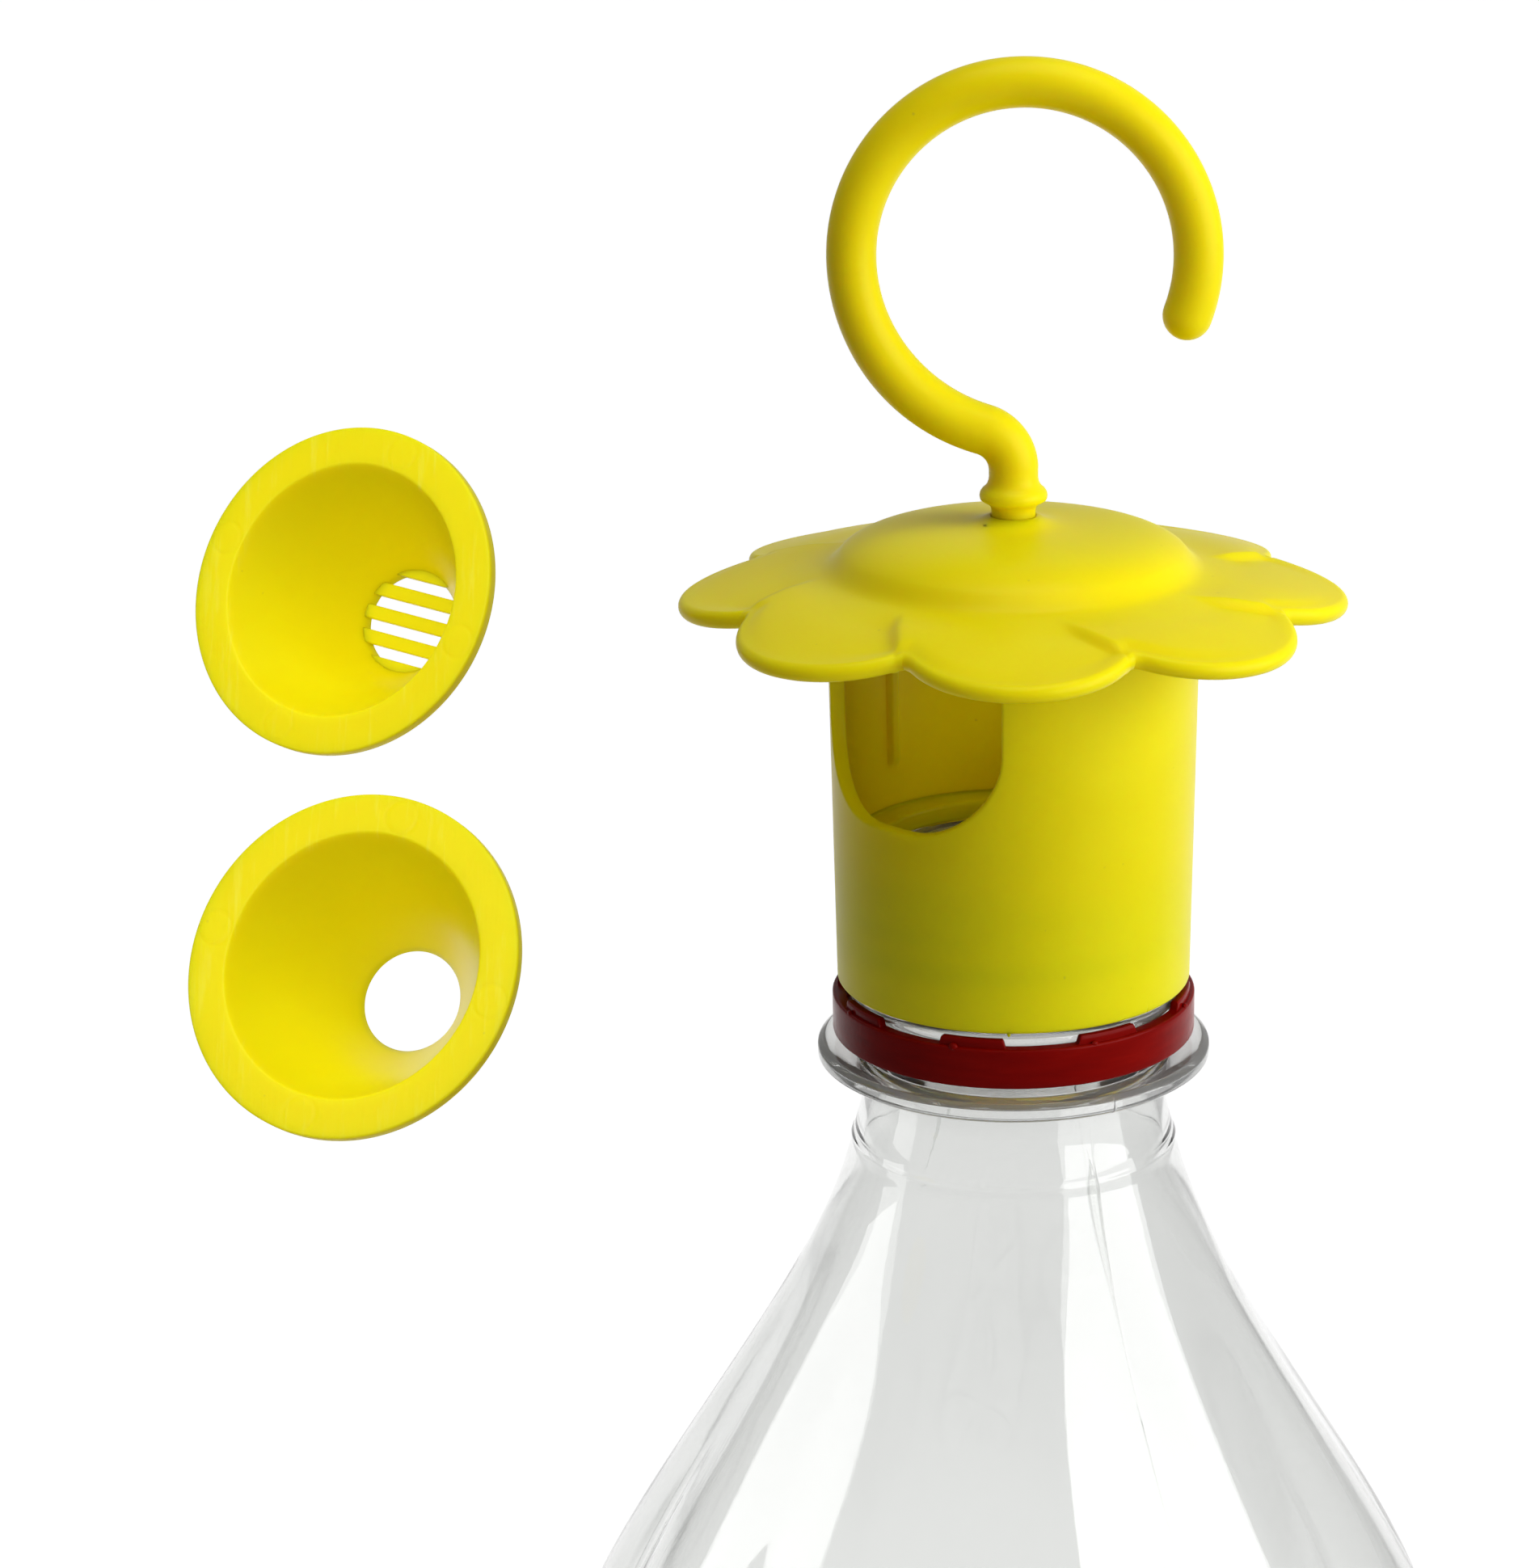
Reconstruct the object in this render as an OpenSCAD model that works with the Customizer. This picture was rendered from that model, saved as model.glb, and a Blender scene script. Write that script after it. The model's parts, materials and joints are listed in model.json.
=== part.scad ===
// Flower-topped wasp trap screwed on a drink bottle, with its two loose funnel inserts.
// Millimetres, +Z up, origin at the centre of the bottle's standing face.

/* [Bottle] */
// Height of the bottle from its standing face to its mouth
bottle_h = 295; // [285:1:330]
// Outer radius of the bottle's body
body_r = 42; // [41:0.5:44]
// Thickness of the blown wall
skin = 0.45; // [0.4:0.05:0.6]
// Height of the domed middle of the base
push_up = 9; // [6:0.5:12]

/* [Neck finish] */
// Height of the mouth above the top of the support ring
finish_h = 15.2; // [15:0.1:16]
// Outer radius of the support ring
ring_r = 16.5; // [16:0.1:17]
// Outer radius of the neck under the threads
neck_r = 12.47; // [12.4:0.01:12.5]
// Radius of the neck's bore
neck_bore_r = 10.87; // [10.7:0.01:11]
// Crest radius of the neck's thread
neck_thread_r = 13.55; // [13.4:0.05:13.6]
// Rise of the thread in one turn
pitch = 2.7; // [2.7:0.1:3.2]

/* [Tamper ring] */
// Outer radius of the red ring left behind by the bottle's cap
band_r = 15.2; // [15:0.05:15.4]
// Radius of its bore
band_bore_r = 14.15; // [14.15:0.05:14.3]
// Number of broken teeth round its top edge
band_teeth = 8; // [6:1:12]

/* [Tower] */
// Outer radius at the bottom
tower_bottom_r = 14.75; // [14.7:0.05:15]
// Outer radius at the top
tower_top_r = 15.27; // [15.2:0.05:15.5]
// Bottom of the tower above the support ring
tower_z = 5.55; // [5.5:0.05:6]
// Height of the tower
tower_h = 33.2; // [32:0.1:36]
// Wall of the upper, windowed part
tower_wall = 1.2; // [1:0.05:1.3]
// Half the width of a window
window_half_w = 9.2; // [8:0.1:10]
// Sill of the windows above the support ring
window_sill = 21.7; // [21:0.1:24]
// Rounding of the lower corners of a window
window_corner_r = 7.3; // [5:0.1:7.5]
// Direction that the first window faces, clockwise from the front seen from above
window_turn = 42; // [0:1:90]

/* [Flower lid] */
// Number of petals
petals = 8; // [8:1:8]
// Radius to the petals' tips
petal_tip_r = 27.3; // [26:0.1:29]
// Radius of each rounded petal
petal_r = 9.4; // [9:0.1:10]
// Foot radius of the dome
dome_r = 15; // [14.5:0.1:15.5]
// Thickness of the lid
lid_wall = 1.4; // [1.2:0.05:1.6]

/* [Hook] */
// Radius of the hook's rod
rod_r = 2; // [1.9:0.05:2.1]
// Radius of the round of the hook, to the middle of the rod
hook_r = 13.8; // [13:0.1:15]
// Radius of the stem that turns in the lid
stem_r = 1.8; // [1.7:0.05:1.9]
// Clearance between the stem and the lid's hole
stem_gap = 0.05; // [0.03:0.01:0.1]

/* [Funnel inserts] */
// Outer radius of the rim
rim_r = 13.6; // [13:0.1:13.7]
// Thickness of the rim
rim_t = 1.2; // [1:0.1:1.5]
// Inner radius of the mouth
mouth_r = 10.55; // [10:0.05:10.8]
// Depth from the rim's face to the tip
funnel_h = 12.4; // [11:0.1:13]
// Radius of the hole at the tip
tip_hole_r = 3.95; // [3.8:0.05:4.5]
// Wall of the cone
cone_wall = 0.9; // [0.8:0.05:1]
// Width of a slot of the grille
slot_w = 1.1; // [0.8:0.05:1.3]
// Distance between the slots' middles
slot_step = 2; // [1.9:0.05:2.2]

/* [Hidden] */
$fn = 96;

// Top face of the support ring, from which everything on the neck is measured
ring_z = bottle_h - finish_h;

// Shoulder of the bottle, measured from the support ring
shoulder_top = [13.75, -9];
shoulder_pull_top = [18.5, -29.4];
shoulder_pull_low = -52.1;
shoulder_low = -71;

// Foot of the bottle
foot_in_r = 20;
foot_out_r = 27;
foot_h = 28;

// Bead that holds the tamper ring down
bead_r = 13.8;
bead_z = 3.9;

// Seat inside the tower
seat_low = finish_h + 0.3;
seat_top = 17.1;
seat_bore_r = 11.2;
thread_bore_r = 14;
tower_thread_r = 13;

// Lid heights above the support ring
petal_tip_z = 38.4;
dome_foot_z = 40.6;
dome_top_z = 44.3;
lid_seat_z = dome_foot_z - lid_wall - 0.1;
spigot_r = 13.65;
spigot_wall = 1.1;
spigot_low = 36.9;
boss_r = 3.4;
boss_low = 41.4;

// Hook heights above the support ring
stem_low = 39.6;
collar_z = 45.6;
rod_z = 48.74;
round_x = 0.91;
round_z = 66;
tip_angle = 20;
lower_r = hook_r + 0.8;
neck_bend_r = 3.4;
bend_angle = 73.5;

// Rest places of the inserts above the support ring, and the way their tips point
open_place = [-50.8, -27.6, 16.3];
open_turn = -17.3;
open_dip = 33.2;
grille_place = [-54.6, -1.5, 39.1];
grille_turn = -23.3;
grille_dip = 27.2;

thread_steps = 24;
rod_sides = 16;

yellow = [0.87, 0.82, 0.08];
red = [0.66, 0.07, 0.06];
clear_pet = [0.85, 0.9, 0.92, 0.35];

function bezier(a, b, c, d, n) =
    [for (i = [0:n]) let (t = i / n, u = 1 - t)
        u * u * u * a + 3 * u * u * t * b + 3 * u * t * t * c + t * t * t * d];

function raised(list, dz) = [for (p = list) [p[0], p[1] + dz]];

// A trapezoid ridge carried up a helix; its crest fades away over the first and last steps.
module helix_ridge(root_r, crest_r, low_z, turns, root_half, crest_half, phase) {
    steps = round(turns * thread_steps);
    fade = 3;
    points = [for (i = [0:steps])
        let (
            a = phase + 360 * i / thread_steps,
            z = low_z + pitch * i / thread_steps,
            k = max(0.15, min(1, i / fade, (steps - i) / fade)),
            r = root_r + (crest_r - root_r) * k
        )
        for (p = [[root_r, -root_half], [r, -crest_half], [r, crest_half], [root_r, root_half]])
            [p[0] * cos(a), p[0] * sin(a), z + p[1]]];
    outward = crest_r > root_r;
    sides = [for (i = [0:steps - 1]) for (j = [0:3])
        let (
            p = 4 * i + j,
            q = 4 * i + (j + 1) % 4
        )
        for (f = [[p, q, q + 4], [p, q + 4, p + 4]])
            outward ? f : [f[2], f[1], f[0]]];
    low_end = [[0, 3, 2], [0, 2, 1]];
    high_end = [for (f = low_end) [f[2] + 4 * steps, f[1] + 4 * steps, f[0] + 4 * steps]];
    ends = concat(low_end, high_end);
    turned_ends = [for (f = ends) outward ? f : [f[2], f[1], f[0]]];
    polyhedron(points = points, faces = concat(sides, turned_ends), convexity = 8);
}

function foot_curve() = concat(
    bezier([0, push_up], [foot_in_r * 0.5, push_up], [foot_in_r * 0.8, push_up * 0.4], [foot_in_r, 0], 5),
    bezier([foot_out_r, 0], [foot_out_r + 9, 0], [body_r, foot_h * 0.35], [body_r, foot_h], 7));

function shoulder_curve() = raised(
    bezier([body_r, shoulder_low], [body_r, shoulder_pull_low], shoulder_pull_top, shoulder_top, 14),
    ring_z);

function neck_curve() = raised(
    [[13.3, -7.2], [12.9, -5.5], [12.6, -3.4], [12.55, -1.9], [14.6, -1.8], [16.1, -1.45],
     [ring_r, -1], [ring_r, -0.5], [ring_r - 0.4, 0], [neck_r, 0], [neck_r, bead_z - 0.7],
     [bead_r, bead_z], [bead_r, bead_z + 0.9], [neck_r, bead_z + 1.3], [neck_r, finish_h - 0.5],
     [neck_r - 0.4, finish_h], [neck_bore_r + 0.3, finish_h], [neck_bore_r, finish_h - 0.4],
     [neck_bore_r, -1.5], [neck_bore_r + 0.5, -5], [shoulder_top[0] - 1.1, -8.6]],
    ring_z);

// The inner wall follows the outer one, from the shoulder down to the middle of the base.
function inside_curve() =
    let (
        wall = [for (p = shoulder_curve()) [p[0] - skin * 1.3, p[1]]],
        foot = [for (p = foot_curve()) [max(0, p[0] - (p[1] > push_up ? skin : 0)), p[1] + skin * 1.3]],
        n = len(wall) - 1,
        m = len(foot) - 1
    )
    concat([for (i = [1:n]) wall[n - i]], [for (i = [0:m]) foot[m - i]]);

module bottle() color(clear_pet) {
    union() {
        rotate_extrude() polygon(concat(foot_curve(), shoulder_curve(), neck_curve(), inside_curve()));
        translate([0, 0, ring_z])
            helix_ridge(neck_r - 0.25, neck_thread_r, 7.3, 1.8, 0.75, 0.3, 40);
    }
}

module tamper_ring() color(red) translate([0, 0, ring_z]) {
    tooth_z = 5.05;
    gap_z = 4.15;
    low_z = 0.95;
    tooth_turn = 9.4;
    difference() {
        rotate_extrude()
            polygon([[13.2, low_z + 0.35], [band_bore_r, low_z], [band_r - 0.3, low_z], [band_r, low_z + 0.3],
                     [band_r, tooth_z], [band_bore_r, tooth_z], [band_bore_r, low_z + 1.4],
                     [13.2, low_z + 1.1]]);
        for (i = [0:band_teeth - 1])
            rotate(tooth_turn + i * 360 / band_teeth)
                translate([13.6, -3.15, gap_z])
                    cube([3, 6.3, 2]);
    }
}

module window_outline() {
    corner_z = window_sill + window_corner_r;
    flat_half = window_half_w - window_corner_r;
    translate([-window_half_w, corner_z])
        square([2 * window_half_w, tower_h]);
    translate([-flat_half, window_sill])
        square([2 * flat_half, window_corner_r + 1]);
    for (side = [-1, 1])
        translate([side * flat_half, corner_z])
            circle(window_corner_r);
}

module tower() color(yellow) translate([0, 0, ring_z]) {
    top = tower_z + tower_h;
    bore_top_r = tower_top_r - tower_wall;
    bore_seat_r = tower_bottom_r + 0.2 - tower_wall + 0.15;
    rib_w = 1.3;
    difference() {
        rotate_extrude()
            polygon([[thread_bore_r, tower_z], [tower_bottom_r - 0.15, tower_z],
                     [tower_bottom_r, tower_z + 0.15], [tower_top_r, top - 0.2],
                     [tower_top_r - 0.2, top], [bore_top_r, top], [bore_seat_r + 0.05, seat_top],
                     [seat_bore_r, seat_top], [seat_bore_r, seat_low], [thread_bore_r, seat_low]]);
        rotate(-window_turn)
            rotate([90, 0, 0])
                linear_extrude(height = 40, center = true)
                    window_outline();
    }
    for (side = [0, 1])
        rotate(-132 + 180 * side)
            intersection() {
                translate([-rib_w / 2, -bore_top_r - 0.3, seat_top + 3.6])
                    cube([rib_w, 1.1, top - seat_top - 6.2]);
                cylinder(r = bore_top_r + 0.3, h = top);
            }
    helix_ridge(thread_bore_r + 0.25, tower_thread_r, 7.3 + pitch / 2, 1.6, 0.75, 0.3, 40);
}

// Outline of the flower, from overlapping round petals
module flower_outline() {
    circle(dome_r + 3);
    for (i = [0:petals - 1])
        rotate(i * 360 / petals - 89)
            translate([petal_tip_r - petal_r, 0])
                circle(petal_r);
}

function dome_curve(drop) = bezier(
    [stem_r + stem_gap, dome_top_z - drop], [7.5, dome_top_z - drop],
    [dome_r - 1.2 - drop * 0.6, dome_foot_z + 2.4 - drop], [dome_r - drop * 0.5, dome_foot_z - drop * 0.9], 8);

module flower_lid() color(yellow) translate([0, 0, ring_z]) {
    inner_dome = dome_curve(lid_wall);
    last = len(inner_dome) - 1;
    spigot_in = spigot_r - spigot_wall;
    difference() {
        union() {
            rotate_extrude()
                polygon(concat(
                    dome_curve(0),
                    [[dome_r, lid_seat_z], [spigot_r, lid_seat_z], [spigot_r, spigot_low],
                     [spigot_in, spigot_low]],
                    [[spigot_in, dome_foot_z - lid_wall]],
                    [for (i = [1:last]) if (inner_dome[last - i][0] < spigot_in - 0.5) inner_dome[last - i]]));
            intersection() {
                rotate_extrude()
                    polygon([[dome_r - 1.3, dome_foot_z + 0.23], [petal_tip_r + 1, petal_tip_z - 0.18],
                             [petal_tip_r + 1, petal_tip_z - 0.18 - lid_wall],
                             [dome_r - 1.3, dome_foot_z + 0.23 - lid_wall]]);
                linear_extrude(height = 60)
                    flower_outline();
            }
            translate([0, 0, boss_low])
                cylinder(r = boss_r, h = dome_top_z - boss_low - lid_wall / 2);
        }
        cylinder(r = stem_r + stem_gap, h = 60);
    }
}

// Stations along an arc in the hook's plane: x, z and the direction of travel
function arc_run(middle_x, middle_z, radius, from_angle, to_angle, n) =
    let (ahead = to_angle > from_angle ? 90 : -90)
    [for (i = [1:n]) let (a = from_angle + (to_angle - from_angle) * i / n)
        [middle_x + radius * cos(a), middle_z + radius * sin(a), a + ahead]];

// A round rod carried along its stations, with a flat start and a round end
module bent_rod(stations, radius) {
    last = len(stations) - 1;
    end_steps = 4;
    rings = concat(
        [for (s = stations) [s[0], s[1], s[2], radius]],
        [for (i = [1:end_steps]) let (s = stations[last], a = 84 * i / end_steps)
            [s[0] + radius * sin(a) * cos(s[2]), s[1] + radius * sin(a) * sin(s[2]), s[2], radius * cos(a)]]);
    n = len(rings);
    points = [for (s = rings) for (j = [0:rod_sides - 1])
        let (k = 360 * j / rod_sides)
        [s[0] - s[3] * cos(k) * sin(s[2]), s[3] * sin(k), s[1] + s[3] * cos(k) * cos(s[2])]];
    sides = [for (i = [0:n - 2]) for (j = [0:rod_sides - 1])
        let (
            p = rod_sides * i + j,
            q = rod_sides * i + (j + 1) % rod_sides
        )
        for (f = [[p, q + rod_sides, p + rod_sides], [p, q, q + rod_sides]]) f];
    start_face = [for (j = [0:rod_sides - 1]) rod_sides - 1 - j];
    end_face = [for (j = [0:rod_sides - 1]) rod_sides * (n - 1) + j];
    polyhedron(points = points, faces = concat(sides, [start_face, end_face]), convexity = 6);
}

module hook() color(yellow) translate([0, 0, ring_z]) {
    left_x = round_x - hook_r;
    bent_rod(concat(
        [[0, collar_z + 1.4, 90], [0, rod_z, 90]],
        arc_run(-neck_bend_r, rod_z, neck_bend_r, 0, bend_angle, 8),
        arc_run(left_x + lower_r, round_z, lower_r, 180 + bend_angle, 180, 9),
        arc_run(round_x, round_z, hook_r, 180, -tip_angle, 26)), rod_r);
    rotate_extrude()
        polygon([[0, stem_low], [1.5, stem_low], [2.5, stem_low + 1], [2.5, stem_low + 1.4],
                 [stem_r, stem_low + 1.4], [stem_r, collar_z], [2.65, collar_z + 0.8],
                 [2.65, collar_z + 1.2], [rod_r + 0.25, collar_z + 1.8], [0, collar_z + 1.8]]);
}

// Funnel with its rim face at z = 0, mouth down, tip up
module funnel_shape(closed) {
    slope = (mouth_r - tip_hole_r) / funnel_h;
    shell = cone_wall * sqrt(1 + slope * slope);
    plate_t = 0.9;
    difference() {
        rotate_extrude()
            polygon([[mouth_r, 0], [rim_r - 0.15, 0], [rim_r, 0.15], [rim_r, rim_t - 0.15],
                     [rim_r - 0.15, rim_t], [mouth_r - slope * rim_t + shell, rim_t],
                     [tip_hole_r + shell, funnel_h], [closed ? 0 : tip_hole_r, funnel_h],
                     [closed ? 0 : tip_hole_r + slope * 0.5, funnel_h - (closed ? plate_t : 0.5)],
                     [tip_hole_r + slope * (closed ? plate_t : 0.6), funnel_h - (closed ? plate_t : 0.6)]]);
        if (closed)
            intersection() {
                cylinder(r = tip_hole_r, h = 30);
                for (i = [-1.5:1.5])
                    translate([-10, i * slot_step - slot_w / 2, funnel_h - 2])
                        cube([20, slot_w, 4]);
            }
    }
}

// Lays a funnel in its place: its tip points away from the front, turned and dipped.
module placed_funnel(place, turn, dip, roll, closed) {
    translate([place[0], place[1], ring_z + place[2]])
        rotate(turn)
            rotate([-90 - dip, 0, 0])
                rotate(roll)
                    funnel_shape(closed);
}

module open_funnel() color(yellow) placed_funnel(open_place, open_turn, open_dip, 0, false);

module grille_funnel() color(yellow) placed_funnel(grille_place, grille_turn, grille_dip, 7, true);

bottle();
tamper_ring();
tower();
flower_lid();
hook();
open_funnel();
grille_funnel();
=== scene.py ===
import json
import math

import bmesh
import bpy
import numpy as np
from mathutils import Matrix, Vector

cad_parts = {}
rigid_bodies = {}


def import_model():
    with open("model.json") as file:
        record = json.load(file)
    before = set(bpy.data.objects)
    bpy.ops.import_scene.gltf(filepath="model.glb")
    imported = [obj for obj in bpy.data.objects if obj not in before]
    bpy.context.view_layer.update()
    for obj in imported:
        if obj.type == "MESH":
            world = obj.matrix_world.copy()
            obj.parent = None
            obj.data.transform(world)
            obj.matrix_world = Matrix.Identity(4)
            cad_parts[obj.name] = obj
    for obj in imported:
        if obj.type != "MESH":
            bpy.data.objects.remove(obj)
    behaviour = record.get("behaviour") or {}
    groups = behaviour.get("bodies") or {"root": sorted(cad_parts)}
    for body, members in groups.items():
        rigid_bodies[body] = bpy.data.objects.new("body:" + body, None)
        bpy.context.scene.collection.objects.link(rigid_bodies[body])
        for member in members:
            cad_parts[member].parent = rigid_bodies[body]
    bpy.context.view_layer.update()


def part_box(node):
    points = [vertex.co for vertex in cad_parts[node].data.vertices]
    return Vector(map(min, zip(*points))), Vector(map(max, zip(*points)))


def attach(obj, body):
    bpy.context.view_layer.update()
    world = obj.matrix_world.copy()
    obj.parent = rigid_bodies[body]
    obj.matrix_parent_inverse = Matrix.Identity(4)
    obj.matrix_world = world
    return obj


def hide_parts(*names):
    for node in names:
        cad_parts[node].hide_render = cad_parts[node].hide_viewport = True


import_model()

# ---------------------------------------------------------------------------
# Driving sizes. Lengths are in millimetres here and become metres in add_piece.
# Heights are measured from the top face of the bottle's support ring.
# ---------------------------------------------------------------------------
MM = 0.001

FINISH_H = 15.2
RING_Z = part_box("bottle")[1][2] / MM - FINISH_H
FLOOR_Z = -RING_Z
BODY_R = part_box("bottle")[1][0] / MM

PITCH = 2.7
THREAD_LOW = 7.3
THREAD_TURN = math.radians(40)

# Where the lights aim and are measured from, in metres
HEAD = (0, 0, RING_Z * MM + 0.01)

YELLOW = (0.83, 0.695, 0.002)
RED = (0.20, 0.0015, 0.0006)


# ---------------------------------------------------------------------------
# Shape tools
# ---------------------------------------------------------------------------
def bezier(a, b, c, d, count):
    """Cubic curve from a to d pulled towards b and c: the sum of the four points, each times its
    Bernstein weight, at count even steps of t from 0 to 1."""
    t = np.linspace(0, 1, count)[:, None]
    a, b, c, d = (np.asarray(p, float) for p in (a, b, c, d))
    return (1 - t) ** 3 * a + 3 * (1 - t) ** 2 * t * b + 3 * (1 - t) * t ** 2 * c + t ** 3 * d


def rise(x, low, high):
    """Smooth step: 0 below low, 1 above high, and 3t^2 - 2t^3 between them."""
    t = np.clip((np.asarray(x, float) - low) / (high - low), 0, 1)
    return t * t * (3 - 2 * t)


def rounded(corners, arc=6, stretch=1.2):
    """Closed outline through corners (x, y, radius). Each corner is cut back along its two sides by
    radius / tan(half its angle), and an arc of that radius joins the cuts. Long sides get middle points."""
    points = []
    n = len(corners)
    for i in range(n):
        before, here, after = (np.array(corners[(i + k) % n][:2], float) for k in (-1, 0, 1))
        radius = corners[i][2]
        u = (before - here) / np.linalg.norm(before - here)
        v = (after - here) / np.linalg.norm(after - here)
        half = math.acos(np.clip(u @ v, -1, 1)) / 2
        if radius <= 0 or half > math.pi / 2 - 0.01:
            points.append(here[None])
            continue
        bisector = (u + v) / np.linalg.norm(u + v)
        centre = here + bisector * radius / math.sin(half)
        cut = radius / math.tan(half)
        p, q = here + u * cut - centre, here + v * cut - centre
        a = math.atan2(p[1], p[0])
        turn = (math.atan2(q[1], q[0]) - a + math.pi) % (2 * math.pi) - math.pi
        k = a + turn * np.linspace(0, 1, arc)
        points.append(centre + radius * np.stack([np.cos(k), np.sin(k)], 1))
    loop = np.vstack(points)
    filled = []
    for i in range(len(loop)):
        a, b = loop[i], loop[(i + 1) % len(loop)]
        parts = max(1, int(np.linalg.norm(b - a) / stretch))
        filled.append(a + (b - a) * (np.arange(parts) / parts)[:, None])
    return np.vstack(filled)


def turn_angles(count):
    """Even angles round one full turn, measured from the front (-Y) towards +X."""
    return np.linspace(0, 2 * math.pi, count, endpoint=False)


def lathe(profile, angles):
    """Profile (r, z) turned round the axis: x = r sin a, y = -r cos a. The profile may differ at each
    angle."""
    profile = np.asarray(profile, float)
    if profile.ndim == 2:
        profile = np.broadcast_to(profile[:, None], (len(profile), len(angles), 2))
    r, z = profile[..., 0], profile[..., 1]
    return np.stack([r * np.sin(angles), -r * np.cos(angles), z], -1)


def tube(path, sides, radius, across):
    """Tube: at each point of path, a circle in the plane of the unit vector across and of the normal,
    which is across x tangent. The radius is one number or one for each point."""
    path = np.asarray(path, float)
    radius = np.broadcast_to(radius, len(path)).astype(float)
    tangent = np.gradient(path, axis=0)
    tangent /= np.linalg.norm(tangent, axis=1)[:, None]
    normal = np.cross(across, tangent)
    normal /= np.linalg.norm(normal, axis=1)[:, None]
    k = turn_angles(sides)
    ring = normal[:, None] * np.cos(k)[:, None] + np.asarray(across, float) * np.sin(k)[:, None]
    return path[:, None] + ring * radius[:, None, None]


def round_end(path, radius, steps):
    """Stations of a half ball past the end of a path, and the tube's radius at each: they run on by radius
    times the sine of an angle, and the tube's radius is radius times its cosine."""
    a = np.linspace(0, math.pi / 2, steps + 1)[1:]
    ahead = path[-1] - path[-2]
    ahead = ahead / np.linalg.norm(ahead)
    more = path[-1] + ahead * (radius * np.sin(a))[:, None]
    return more, radius * np.cos(a)


def helix_ridge(root_r, crest_r, low_z, turns, phase):
    """Thread ridge: a rounded trapezoid carried up a helix that rises PITCH a turn. The crest's height
    grows from the root over the first eighth of a turn and fades the same way at the end."""
    steps_a_turn, root_half, crest_half = 60, 0.75, 0.3
    count = int(turns * steps_a_turn) + 1
    a = np.linspace(0, turns * 2 * math.pi, count)
    fade = np.minimum(rise(a, 0, math.pi / 4), rise(a[-1] - a, 0, math.pi / 4)).clip(0.02, 1)
    depth = crest_r - root_r
    section = rounded([(0, -root_half, 0), (depth, -crest_half, 0.15), (depth, crest_half, 0.15),
                       (0, root_half, 0)], arc=4, stretch=5)
    r = root_r + section[:, 0][:, None] * fade
    z = low_z + section[:, 1][:, None] * (0.3 + 0.7 * fade) + PITCH * a / (2 * math.pi)
    theta = phase + a
    return np.stack([r * np.cos(theta), r * np.sin(theta), z + 0 * r], -1)


def dome(at, r, z, size):
    """Small closed egg: a ball stretched by size (outwards, along the wall, up) and put at angle at."""
    a = np.linspace(0, math.pi, 9)[:, None]
    b = turn_angles(14)[None]
    out = size[0] * np.sin(a) * np.cos(b)
    along = size[1] * np.sin(a) * np.sin(b)
    up = size[2] * np.cos(a) + 0 * b
    x = (r + out) * math.sin(at) + along * math.cos(at)
    y = -(r + out) * math.cos(at) + along * math.sin(at)
    return np.stack([x, y, z + up], -1), False, True


def offset_inward(grid, depth):
    """Moves each point of a closed-round grid against its normal by depth. The normal is the cross
    product of the grid's two difference directions."""
    rows = np.gradient(grid, axis=0)
    cols = np.roll(grid, -1, axis=1) - np.roll(grid, 1, axis=1)
    normal = np.cross(cols, rows)
    size = np.linalg.norm(normal, axis=2)
    weak = size < 1e-6
    normal = normal / np.where(weak, 1, size)[..., None]
    normal[weak] = (0, 0, -1)
    return grid - normal * depth


def grid_faces(rows, cols, wrap_rows, wrap_cols):
    """Quads between neighbouring rows and columns of a grid, joined round where it wraps."""
    i = np.arange(rows if wrap_rows else rows - 1)
    j = np.arange(cols if wrap_cols else cols - 1)
    i, j = np.meshgrid(i, j, indexing="ij")
    i2, j2 = (i + 1) % rows, (j + 1) % cols
    return np.stack([i * cols + j, i2 * cols + j, i2 * cols + j2, i * cols + j2], -1).reshape(-1, 4)


def add_piece(name, shells, material, body, nodes=(), smooth_below=42):
    """One object from closed shells. A shell is (grid, wraps by rows, wraps by columns). Doubled points at
    seams and poles are merged, open ends are filled, and faces are turned outwards."""
    points, faces, start = [], [], 0
    for grid, wrap_rows, wrap_cols in shells:
        points.append(grid.reshape(-1, 3))
        faces.append(grid_faces(grid.shape[0], grid.shape[1], wrap_rows, wrap_cols) + start)
        start += grid.shape[0] * grid.shape[1]
    points, faces = np.vstack(points), np.vstack(faces)
    points = (points + (0, 0, RING_Z)) * MM
    mesh = bpy.data.meshes.new(name)
    mesh.vertices.add(len(points))
    mesh.vertices.foreach_set("co", points.ravel())
    mesh.loops.add(faces.size)
    mesh.loops.foreach_set("vertex_index", faces.ravel())
    mesh.polygons.add(len(faces))
    mesh.polygons.foreach_set("loop_start", np.arange(0, faces.size, 4))
    mesh.update(calc_edges=True)
    mesh.validate()
    work = bmesh.new()
    work.from_mesh(mesh)
    bmesh.ops.remove_doubles(work, verts=work.verts, dist=2e-6)
    bmesh.ops.dissolve_degenerate(work, edges=work.edges, dist=1e-7)
    rims = [e for e in work.edges if e.is_boundary]
    if rims:
        bmesh.ops.holes_fill(work, edges=rims, sides=0)
    bmesh.ops.recalc_face_normals(work, faces=work.faces)
    work.to_mesh(mesh)
    work.free()
    mesh.polygons.foreach_set("use_smooth", np.ones(len(mesh.polygons), bool))
    mesh.set_sharp_from_angle(angle=math.radians(smooth_below))
    mesh.materials.append(material)
    piece = bpy.data.objects.new(name, mesh)
    bpy.context.scene.collection.objects.link(piece)
    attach(piece, body)
    if nodes:
        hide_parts(*nodes)
    return piece


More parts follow.
